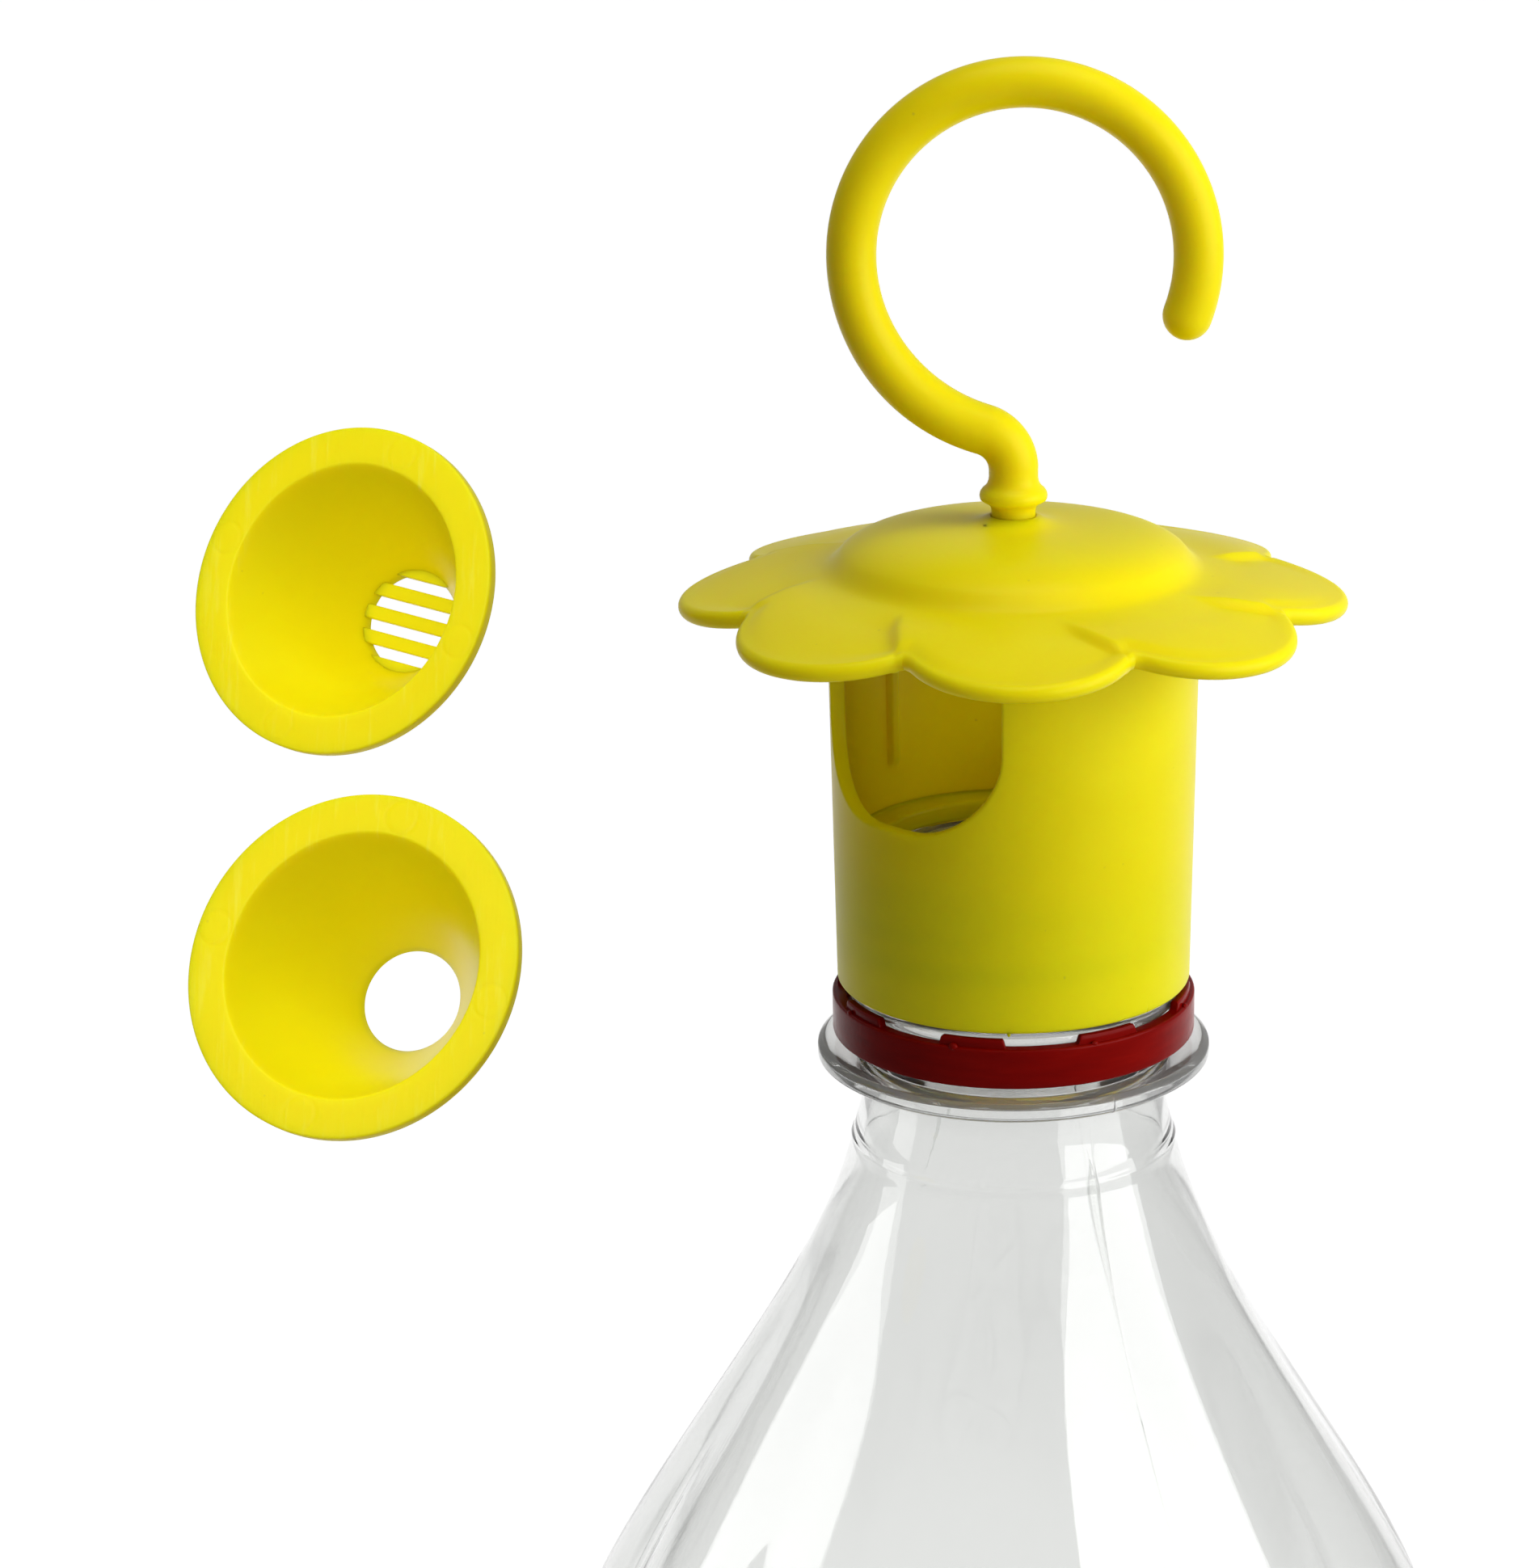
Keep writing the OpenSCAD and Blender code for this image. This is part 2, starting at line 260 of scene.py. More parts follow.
# ---------------------------------------------------------------------------
# Materials
# ---------------------------------------------------------------------------
class Finish:
    """A material with short calls for its nodes. Patterns read Object coordinates, in metres."""

    def __init__(self, name):
        self.material = bpy.data.materials.new(name)
        self.material.use_nodes = True
        self.tree = self.material.node_tree
        self.shader = self.tree.nodes["Principled BSDF"]
        self.coords = self.tree.nodes.new("ShaderNodeTexCoord")

    def node(self, kind, **values):
        """A new node, with its own settings or the values of its sockets."""
        made = self.tree.nodes.new(kind)
        for key, value in values.items():
            if hasattr(made, key):
                setattr(made, key, value)
            else:
                made.inputs[key].default_value = value
        return made

    def join(self, out, into):
        """A link from one node's output to another's input."""
        self.tree.links.new(out, into)

    def placed(self, scale, turn=(0, 0, 0)):
        """Object coordinates, scaled and turned."""
        mapping = self.node("ShaderNodeMapping")
        mapping.inputs["Scale"].default_value = scale
        mapping.inputs["Rotation"].default_value = turn
        self.join(self.coords.outputs["Object"], mapping.inputs["Vector"])
        return mapping.outputs["Vector"]

    def noise(self, scale, detail=3.0, roughness=0.5, vector=None, distortion=0.0):
        """Cloudy noise of about 0.5 in the mean. Its scale is in waves a metre."""
        made = self.node("ShaderNodeTexNoise", Scale=scale, Detail=detail, Roughness=roughness,
                         Distortion=distortion)
        self.join(vector if vector else self.coords.outputs["Object"], made.inputs["Vector"])
        return made.outputs["Fac"]

    def ramp(self, value, stops):
        """Colour for a value, from stops of (value, colour)."""
        made = self.node("ShaderNodeValToRGB")
        ends = made.color_ramp.elements
        ends[0].position, ends[0].color = stops[0][0], (*stops[0][1], 1)
        ends[1].position, ends[1].color = stops[-1][0], (*stops[-1][1], 1)
        for position, colour in stops[1:-1]:
            ends.new(position).color = (*colour, 1)
        self.join(value, made.inputs["Fac"])
        return made.outputs["Color"]

    def span(self, value, low, high, from_low=0.0, from_high=1.0):
        """A value's place between from_low and from_high, as low to high."""
        made = self.node("ShaderNodeMapRange")
        ends = {"From Min": from_low, "From Max": from_high, "To Min": low, "To Max": high}
        for key, number in ends.items():
            made.inputs[key].default_value = number
        self.join(value, made.inputs["Value"])
        return made.outputs["Result"]

    def maths(self, kind, a, b):
        """Two values or numbers put together by one operation."""
        made = self.node("ShaderNodeMath", operation=kind)
        for i, value in enumerate((a, b)):
            if isinstance(value, (int, float)):
                made.inputs[i].default_value = value
            else:
                self.join(value, made.inputs[i])
        return made.outputs[0]

    def mix(self, factor, a, b):
        """Colour a where the factor is 0 and b where it is 1."""
        made = self.node("ShaderNodeMix", data_type="RGBA")
        self.join(factor, made.inputs[0])
        for socket, value in ((made.inputs[6], a), (made.inputs[7], b)):
            if isinstance(value, tuple):
                socket.default_value = (*value, 1)
            else:
                self.join(value, socket)
        return made.outputs[2]

    def bump(self, height, strength, distance):
        """Small relief of the surface from a height pattern."""
        made = self.node("ShaderNodeBump", Strength=strength, Distance=distance)
        self.join(height, made.inputs["Height"])
        self.join(made.outputs["Normal"], self.shader.inputs["Normal"])

    def set(self, **values):
        """Sets or links inputs of the surface shader, named with _ for spaces."""
        for key, value in values.items():
            socket = self.shader.inputs[key.replace("_", " ")]
            if isinstance(value, bpy.types.NodeSocket):
                self.join(value, socket)
            else:
                socket.default_value = (*value, 1) if isinstance(value, tuple) and len(value) == 3 \
                    and socket.type == "RGBA" else value


def moulded_yellow(name, brushed=None, shine=0.08):
    """Satin yellow polypropylene: faint flow clouds in the colour, a fine moulded grain, and light carried
    under the skin. For a rim whose face carries fine rubbed lines, brushed gives the turn of the lines,
    the direction into the piece, and how far along it the face lies."""
    f = Finish(name)
    clouds = f.noise(55, 4, 0.55, distortion=0.6)
    grain = f.noise(2600, 2, 0.6)
    specks = f.noise(1300, 1, 0.4)
    colour = f.ramp(clouds, [(0.25, (0.80, 0.660, 0.001)), (0.5, YELLOW), (0.75, (0.85, 0.725, 0.004))])
    dust = f.span(specks, 0.0, 0.35, 0.80, 0.86)
    colour = f.mix(dust, colour, (0.42, 0.36, 0.05))
    rough = f.span(clouds, 0.30, 0.40, 0.3, 0.7)
    height = f.maths("ADD", f.maths("MULTIPLY", grain, 0.35), f.maths("MULTIPLY", f.noise(240, 3, 0.5), 0.65))
    if brushed:
        turn, axis, depth = brushed
        along = f.node("ShaderNodeVectorMath", operation="DOT_PRODUCT")
        f.join(f.coords.outputs["Object"], along.inputs[0])
        along.inputs[1].default_value = axis
        on_face = f.span(along.outputs["Value"], 1.0, 0.0, depth + 0.0003, depth + 0.0008)
        lines = f.noise(120, 5, 0.65, vector=f.placed((14, 1.2, 1.2), turn))
        height = f.maths("ADD", height, f.maths("MULTIPLY", f.maths("MULTIPLY", lines, on_face), 1.5))
        rough = f.maths("ADD", rough, f.maths("MULTIPLY", on_face, f.span(lines, 0.05, 0.25, 0.35, 0.65)))
        rubbed = f.maths("MULTIPLY", on_face, f.span(lines, 0.0, 0.35, 0.55, 0.75))
        colour = f.mix(rubbed, colour, (0.88, 0.81, 0.10))
    f.set(Base_Color=colour, Roughness=rough, IOR=1.49, Subsurface_Weight=0.8, Subsurface_Scale=0.0028,
          Specular_IOR_Level=shine)
    f.shader.inputs["Subsurface Radius"].default_value = (1.0, 0.75, 0.08)
    f.bump(height, 0.16, 0.00012)
    return f.material


def cap_red():
    """Glossy deep red cap plastic, a little streaked round its band, with rubbed lighter spots."""
    f = Finish("cap_red")
    streaks = f.noise(160, 4, 0.6, vector=f.placed((1, 1, 6)))
    rubs = f.noise(700, 3, 0.6)
    colour = f.ramp(streaks, [(0.3, (0.17, 0.001, 0.0005)), (0.55, RED), (0.8, (0.24, 0.003, 0.001))])
    colour = f.mix(f.span(rubs, 0.0, 0.2, 0.74, 0.82), colour, (0.42, 0.04, 0.03))
    f.set(Base_Color=colour, Roughness=f.span(rubs, 0.20, 0.28, 0.35, 0.75), IOR=1.5,
          Subsurface_Weight=0.08, Subsurface_Scale=0.0008, Specular_IOR_Level=0.05)
    f.shader.inputs["Subsurface Radius"].default_value = (1.0, 0.1, 0.08)
    f.bump(f.maths("ADD", f.noise(1500, 2, 0.5), streaks), 0.12, 0.0001)
    return f.material


def clear_pet():
    """Clear blown plastic: a faint cool tint, with the grey of about 0.85 in its colour as painted shade that
    darkens what is seen through the wall, slow waves in the wall, and fine scuffs. The thick neck and its
    ring, which weren't blown thin, are a little milky."""
    f = Finish("clear_pet")
    scuffs = f.noise(420, 5, 0.7, vector=f.placed((1, 1, 0.35)))
    waves = f.noise(38, 2, 0.45, vector=f.placed((1, 1, 0.45)))
    # Base colour: the light grey of about 0.85 is painted shade that darkens the view through the clear wall;
    # only the slight green cast is the plastic's own tint. Scuffs are a little darker.
    colour = f.mix(f.span(scuffs, 0.0, 0.5, 0.70, 0.78), (0.850, 0.856, 0.846), (0.79, 0.79, 0.78))
    parts = f.node("ShaderNodeSeparateXYZ")
    f.join(f.coords.outputs["Object"], parts.inputs[0])
    clear = f.span(parts.outputs["Z"], 1.0, 0.88, (RING_Z - 5) * MM, (RING_Z - 2) * MM)
    f.set(Base_Color=colour, Roughness=f.span(scuffs, 0.0, 0.16, 0.62, 0.80), IOR=1.5,
          Transmission_Weight=clear)
    f.bump(f.maths("ADD", waves, f.maths("MULTIPLY", scuffs, 0.02)), 0.35, 0.0006)
    return f.material


yellow = moulded_yellow("moulded_yellow")
red = cap_red()
pet = clear_pet()


# ---------------------------------------------------------------------------
# Bottle
# ---------------------------------------------------------------------------
BASE_H = 42
SEAM_AT = math.radians(30)
NECK_R = 12.47
THREAD_H = 1.08
THREAD_TURNS = 1.8
FLUTES = 10
FLUTE_AT = math.radians(-9.5)


def bottle_angles():
    """Even angles, with finer steps beside the two mould seams."""
    fine = np.radians([-1.1, -0.7, -0.35, -0.12, 0, 0.12, 0.35, 0.7, 1.1])
    seams = np.concatenate([SEAM_AT + fine, SEAM_AT + math.pi + fine])
    return np.unique(np.round(np.concatenate([turn_angles(220), seams]) % (2 * math.pi), 6))


def foot_profiles():
    """The two outlines of the base, under a foot and between two feet, with matching points. Both run
    from the middle of the base out to the wall."""
    middle = FLOOR_Z + 9
    wall_top = FLOOR_Z + BASE_H
    under = np.vstack([
        bezier((0, middle), (10, middle), (15, FLOOR_Z + 5), (21, FLOOR_Z), 22)[:-1],
        bezier((21, FLOOR_Z), (23, FLOOR_Z), (26, FLOOR_Z), (27, FLOOR_Z), 5)[:-1],
        bezier((27, FLOOR_Z), (35, FLOOR_Z), (BODY_R, FLOOR_Z + 10), (BODY_R, FLOOR_Z + 26), 22)[:-1],
        bezier((BODY_R, FLOOR_Z + 26), (BODY_R, FLOOR_Z + 31), (BODY_R, FLOOR_Z + 37),
               (BODY_R, wall_top), 8)])
    between = np.vstack([
        bezier((0, middle), (8, middle), (14, FLOOR_Z + 10), (20, FLOOR_Z + 12), 22)[:-1],
        bezier((20, FLOOR_Z + 12), (22, FLOOR_Z + 12.7), (24, FLOOR_Z + 13.6), (26, FLOOR_Z + 14.7), 5)[:-1],
        bezier((26, FLOOR_Z + 14.7), (33, FLOOR_Z + 18.5), (39, FLOOR_Z + 24), (41, FLOOR_Z + 31), 22)[:-1],
        bezier((41, FLOOR_Z + 31), (41.8, FLOOR_Z + 34), (BODY_R, FLOOR_Z + 38), (BODY_R, wall_top), 8)])
    return under, between


def bottle_base(angles):
    """Base of five feet: at each angle a mix of the two outlines, whose weight is a smooth step of
    cos(5 a), so the feet are broad and the straps between them narrow."""
    under, between = foot_profiles()
    weight = rise(np.cos(5 * (angles - 0.35)), -0.75, 0.15)
    return under[:, None] * weight[None, :, None] + between[:, None] * (1 - weight)[None, :, None]


def bottle_wall(angles):
    """Body and shoulder. The body is upright with a shallow label band. The shoulder is a bell curve with
    soft lobes of cos(FLUTES a) and, under them, pointed drop-shaped flutes; both fade out at their ends."""
    shoulder_low, crease = -71.0, -9.0
    z_body = np.linspace(FLOOR_Z + BASE_H, shoulder_low, 44)[1:-1]
    r_body = BODY_R - 0.7 * rise(z_body, FLOOR_Z + 66, FLOOR_Z + 70) * (1 - rise(z_body, -92, -88))
    bell = bezier((BODY_R, shoulder_low), (BODY_R, -52.1), (18.5, -29.4), (13.75, crease), 88)
    r = np.concatenate([r_body, bell[:, 0]])
    z = np.concatenate([z_body, bell[:, 1]])
    lobes = 0.42 * rise(z, -82, -58) * (1 - rise(z, -34, -12))
    depth = 1.15 * rise(z, -88, -66) * (1 - rise(z, -58, -34))
    width = 0.6 + 3.4 * rise(z, -90, -68) * (1 - rise(z, -58, -33))
    step = 2 * math.pi / FLUTES
    off = (angles - FLUTE_AT + step / 2) % step - step / 2
    across = off[None] * r[:, None]
    r_all = r[:, None] - lobes[:, None] * np.cos(FLUTES * (angles - FLUTE_AT))[None]
    r_all = r_all - depth[:, None] * np.exp(-(across / width[:, None]) ** 2)
    return np.stack([np.minimum(r_all, BODY_R), np.broadcast_to(z[:, None], r_all.shape)], -1)


def seam_height(angles, r, z):
    """Mould seam: a ridge about 0.1 wide on two opposite sides, 0.06 high at the neck and lower below."""
    off = np.abs((angles - SEAM_AT + math.pi / 2) % math.pi - math.pi / 2)
    front = np.abs(angles - SEAM_AT) < 1
    high = (0.015 + 0.045 * rise(z, -26, -9)) * np.where(front, 1.0, 0.3)
    return high * np.exp(-(off[None] * r / 0.06) ** 2)


def thread_height(angles, z):
    """Neck thread: THREAD_H high where a point lies near a helix that rises PITCH a turn, a smooth step of
    the distance to it, and fading out over an eighth of a turn at both ends."""
    whole, crest_half, root_half = 2 * math.pi, 0.22, 0.78
    length = THREAD_TURNS * 2 * math.pi
    high = np.zeros(np.broadcast(angles, z).shape)
    for turn in range(2):
        a = (angles - THREAD_TURN) % whole + whole * turn
        fade = rise(a, 0, math.pi / 4) * rise(length - a, 0, math.pi / 4)
        off = np.abs(z - THREAD_LOW - PITCH * a / whole)
        high = np.maximum(high, fade * (1 - rise(off, crest_half, root_half)))
    return THREAD_H * high


def bottle():
    """One closed wall: the outer skin from the middle of the base up to the mouth, over the lip, and down
    the bore; from the neck down the inner skin is the outer one moved inwards by the wall's thickness.
    The thread is part of the outer skin."""
    angles = bottle_angles()
    blown = np.concatenate([bottle_base(angles), bottle_wall(angles)], 0)
    neck = np.vstack([
        [(13.76, -8.88), (13.78, -8.7), (13.68, -8.5), (13.58, -8.3)],
        bezier((13.44, -7.9), (13.2, -6.8), (12.95, -6.0), (12.75, -4.6), 8),
        [(12.6, -3.4), (12.58, -2.4), (12.75, -2.0), (13.2, -1.86), (14.4, -1.78), (15.5, -1.66)],
        rounded([(16.1, -1.52, 0), (16.5, -1.2, 0.18), (16.5, -0.38, 0.3), (16.0, 0.0, 0.4), (14, 0.1, 0)],
                arc=5, stretch=9)[:-1],
        [(14.2, 0.02), (13.2, 0.02), (12.7, 0.1), (12.5, 0.3), (NECK_R, 1.6), (NECK_R, 3.2)],
        bezier((12.55, 3.3), (13.6, 3.7), (13.8, 3.9), (13.8, 4.3), 6),
        bezier((13.8, 4.6), (13.8, 5.0), (13.1, 5.0), (12.5, 5.2), 6),
        [(NECK_R, height) for height in np.linspace(5.5, 14.4, 82)],
        bezier((NECK_R, 14.8), (12.4, 15.15), (12.2, 15.2), (11.8, 15.2), 5),
        bezier((11.4, 15.2), (11.0, 15.2), (10.87, 15.0), (10.87, 14.6), 5),
        [(10.87, 11), (10.87, 6), (10.87, 1), (10.9, -1.5), (11.05, -3.2), (11.5, -5.2), (12.1, -7.0)]])
    neck = np.broadcast_to(neck[:, None], (len(neck), len(angles), 2))
    outside_rows = len(blown)
    rz = np.concatenate([blown, neck], 0).copy()
    on_seam = (rz[..., 1] > FLOOR_Z + 30) & (rz[..., 0] > 12.4) & (rz[..., 1] < 0.5)
    rz[..., 0] = np.minimum(rz[..., 0] + seam_height(angles, rz[..., 0], rz[..., 1]) * on_seam, BODY_R)
    on_thread = (rz[..., 0] > 12.4) & (rz[..., 1] > 5.4) & (rz[..., 1] < 14.5)
    rz[..., 0] += thread_height(angles[None], rz[..., 1]) * on_thread
    wall = lathe(rz, angles)
    skin = wall[:outside_rows]
    z = blown[:, 0, 1]
    thick = 0.42 + 0.75 * rise(z, -22, -9) + 0.5 * (1 - rise(z, FLOOR_Z + 20, FLOOR_Z + 45))
    inside = offset_inward(skin, thick[:, None, None])[::-1]
    whole = np.concatenate([wall, inside], 0)
    return add_piece("clear_bottle", [(whole, False, True)], pet, "bottle", ["bottle"],
                     smooth_below=60)


bottle()


# ---------------------------------------------------------------------------
# Tamper ring
# ---------------------------------------------------------------------------
TEETH = 8


def tamper_ring():
    """A band whose inner wall stands up in eight teeth. The outline is turned round the neck, and the
    height of its inner step follows a square wave of the angle with short ramps. Little torn bridges
    stand on the outer edge, one short dome by each tooth."""
    step = 2 * math.pi / TEETH
    angles = turn_angles(720)
    tooth_at, bridge_at = math.radians(-13.3), math.radians(-19.0)
    off = np.abs((angles - tooth_at + step / 2) % step - step / 2)
    up = 1 - rise(off, math.radians(10.0), math.radians(10.9))
    band_top, tooth_top = 4.32, 5.05
    low = rounded([(15.2, band_top, 0), (15.2, 0.95, 0.22), (14.15, 0.95, 0.15), (13.3, 1.25, 0.1),
                   (13.3, 2.0, 0.1), (14.15, 2.35, 0.1), (14.15, band_top, 0)], arc=5, stretch=0.7)
    outer_edge = rounded([(14.2, 4.0, 0), (14.85, band_top, 0.0), (15.2, band_top, 0.2), (15.2, 3.6, 0)],
                         arc=6, stretch=9)
    body = low[low[:, 1] < 3.7]
    rim = outer_edge[outer_edge[:, 0] > 14.86]
    profile = np.vstack([body, [(14.15, 3.9)]])
    rows = [np.broadcast_to(p, (len(angles), 2)) for p in profile]
    tooth = tooth_top - band_top
    for r, lift in ((14.15, 0.80), (14.22, 0.96), (14.32, 1.0), (14.62, 1.0), (14.74, 0.96), (14.80, 0.80),
                    (14.82, 0.45), (14.83, 0.0)):
        rows.append(np.stack([np.full(len(angles), r), band_top + tooth * lift * up], -1))
    rows += [np.broadcast_to(p, (len(angles), 2)) for p in rim]
    band = lathe(np.stack(rows), angles)
    shells = [(band, True, True)]
    for i in range(TEETH):
        at = bridge_at + i * step
        size = (0.20, 0.34, 0.26) if i % 3 else (0.26, 0.42, 0.34)
        shells.append(dome(at, 15.0, band_top - 0.04, size))
    return add_piece("red_tamper_ring", shells, red, "tamper_ring", ["tamper_ring"])


tamper_ring()


# ---------------------------------------------------------------------------
# Tower
# ---------------------------------------------------------------------------
TOWER_LOW, TOWER_TOP = 5.55, 38.75
TOWER_LOW_R, TOWER_TOP_R = 14.75, 15.27
WINDOW_HALF, WINDOW_SILL, WINDOW_CORNER = 9.2, 21.7, 7.3
WINDOW_AT = math.radians(-42)


def window_edge(share):
    """The U of a window, as distances across and heights at each share of its length, from its left top
    down, round and up again: a straight side, a quarter circle, the flat sill, and the same mirrored."""
    corner_z = WINDOW_SILL + WINDOW_CORNER
    flat = WINDOW_HALF - WINDOW_CORNER
    side = TOWER_TOP - corner_z
    quarter = WINDOW_CORNER * math.pi / 2
    total = 2 * (side + quarter + flat)
    s = total * share
    half = np.where(s <= total / 2, s, total - s)
    k = np.clip((half - side) / WINDOW_CORNER, 0, math.pi / 2)
    x = np.where(half < side, -WINDOW_HALF, -flat - WINDOW_CORNER * np.cos(k))
    x = np.where(half > side + quarter, -flat + (half - side - quarter), x)
    z = np.where(half < side, TOWER_TOP - half, corner_z - WINDOW_CORNER * np.sin(k))
    return np.where(s <= total / 2, x, -x), z


def half_wall(facing):
    """Half of the tower's wall, centred on one window, as a thick sheet. Lines run from the window's edge
    to the outline of the half: down one side, along the bottom, and up the other side. The sheet's two
    faces draw together on an arc near a free edge, and narrow strips join them there, so every edge is
    rounded and only the sides that meet the other half stay open. There the wall thickens inwards into
    an upright rib, by a smooth step of the distance from the side."""
    share = np.linspace(0, 1, 241)
    close = np.array([0.0004, 0.0008, 0.0013, 0.0019, 0.0028])
    share = np.unique(np.round(np.concatenate([share, close, 1 - close]), 6))
    count, side_share = len(share), 0.30
    across, high = window_edge(share)
    mid_r = 14.5
    inner_turn = np.arcsin(across / (mid_r + 0.3))
    left = share < side_share - 1e-6
    right = share > 1 - side_share + 1e-6
    outer_turn = np.where(left, -math.pi / 2, np.where(right, math.pi / 2, 0.0))
    middle = ~(left | right)
    outer_turn[middle] = math.pi * ((share[middle] - side_share) / (1 - 2 * side_share) - 0.5)
    outer_z = np.full(count, TOWER_LOW)
    outer_z[left] = TOWER_TOP + (TOWER_LOW - TOWER_TOP) * share[left] / side_share
    outer_z[right] = TOWER_TOP + (TOWER_LOW - TOWER_TOP) * (1 - share[right]) / side_share
    near = np.array([0, 0.002, 0.004, 0.007, 0.012, 0.018, 0.026, 0.038])
    t = np.concatenate([near, np.linspace(0.056, 0.944, 30), 1 - near[::-1]])
    turn = inner_turn[:, None] + (outer_turn - inner_turn)[:, None] * t
    z = high[:, None] + (outer_z - high)[:, None] * t
    r_out = TOWER_LOW_R + (TOWER_TOP_R - TOWER_LOW_R) * (z - TOWER_LOW) / (TOWER_TOP - TOWER_LOW)
    wall = 0.86 + 0.34 * rise(z, 15.0, 16.2)
    from_side = (math.pi / 2 - np.abs(turn)) * mid_r
    wall = wall + 0.5 * (1 - rise(from_side, 0.40, 0.80)) * rise(z, 20.5, 21.3) * (1 - rise(z, 35.8, 36.3))
    edge_r = 0.24
    reach = np.hypot((turn - inner_turn[:, None]) * mid_r, z - high[:, None])
    to_edge = np.minimum(reach, np.minimum(z - TOWER_LOW, TOWER_TOP - z)).clip(0, None)
    into = np.clip(edge_r - to_edge, 0, edge_r)
    draw = edge_r - np.sqrt(edge_r ** 2 - into ** 2)
    angle = facing + turn
    sheets = []
    for r in (r_out - draw, r_out - wall + draw):
        sheets.append(np.stack([r * np.sin(angle), -r * np.cos(angle), z], -1))
    outer, inner = sheets
    low_edge = np.flatnonzero(middle)
    strips = [np.concatenate([inner[:, ::-1], outer], 1)]
    for rows, cols in ((0, slice(None)), (-1, slice(None)), (low_edge, -1)):
        strips.append(np.stack([outer[rows, cols], inner[rows, cols]]))
    return [(strip, False, False) for strip in strips]


def tower():
    """Entry tube: two half walls that meet at the sides, the inner thread, and the little gate mark on the
    bottom edge. The seat ring for a funnel insert is a turned outline and a piece of its own."""
    shells = []
    for facing in (WINDOW_AT, WINDOW_AT + math.pi):
        shells += half_wall(facing)
    shells.append((helix_ridge(14.15, 13.0, THREAD_LOW + PITCH / 2, 1.6, THREAD_TURN), True, False))
    shells.append(dome(math.radians(-1.5), 14.45, TOWER_LOW + 0.02, (0.22, 0.16, 0.34)))
    seat = rounded([(14.0, 15.5, 0), (14.0, 17.45, 0), (13.5, 17.12, 0.3), (11.2, 17.1, 0.35),
                    (11.2, 15.5, 0.35)], arc=7, stretch=0.8)
    add_piece("yellow_tower_seat", [(lathe(seat, turn_angles(240)), True, True)], yellow, "tower",
              ["tower"])
    return add_piece("yellow_tower", shells, yellow, "tower", ["tower"])


tower()


# ---------------------------------------------------------------------------
# Flower lid
# ---------------------------------------------------------------------------
PETALS = 8
PETAL_TIP_R, PETAL_R, PETAL_ROOT_R = 27.3, 9.4, 15.7
PETAL_AT = math.radians(1.2)


def petal_reach(angles):
    """Radius of the flower's outline: the far side of the nearest petal's circle, which is
    d cos b + sqrt(R^2 - d^2 sin^2 b), with b the angle from that petal's middle. A narrow round fillet,
    a Gaussian of b, fills the point of each notch."""
    step = 2 * math.pi / PETALS
    b = (angles - PETAL_AT + step / 2) % step - step / 2
    d = PETAL_TIP_R - PETAL_R
    reach = d * np.cos(b) + np.sqrt(PETAL_R ** 2 - (d * np.sin(b)) ** 2)
    to_notch = step / 2 - np.abs(b)
    return reach + 0.28 * np.exp(-(to_notch / math.radians(0.9)) ** 2)


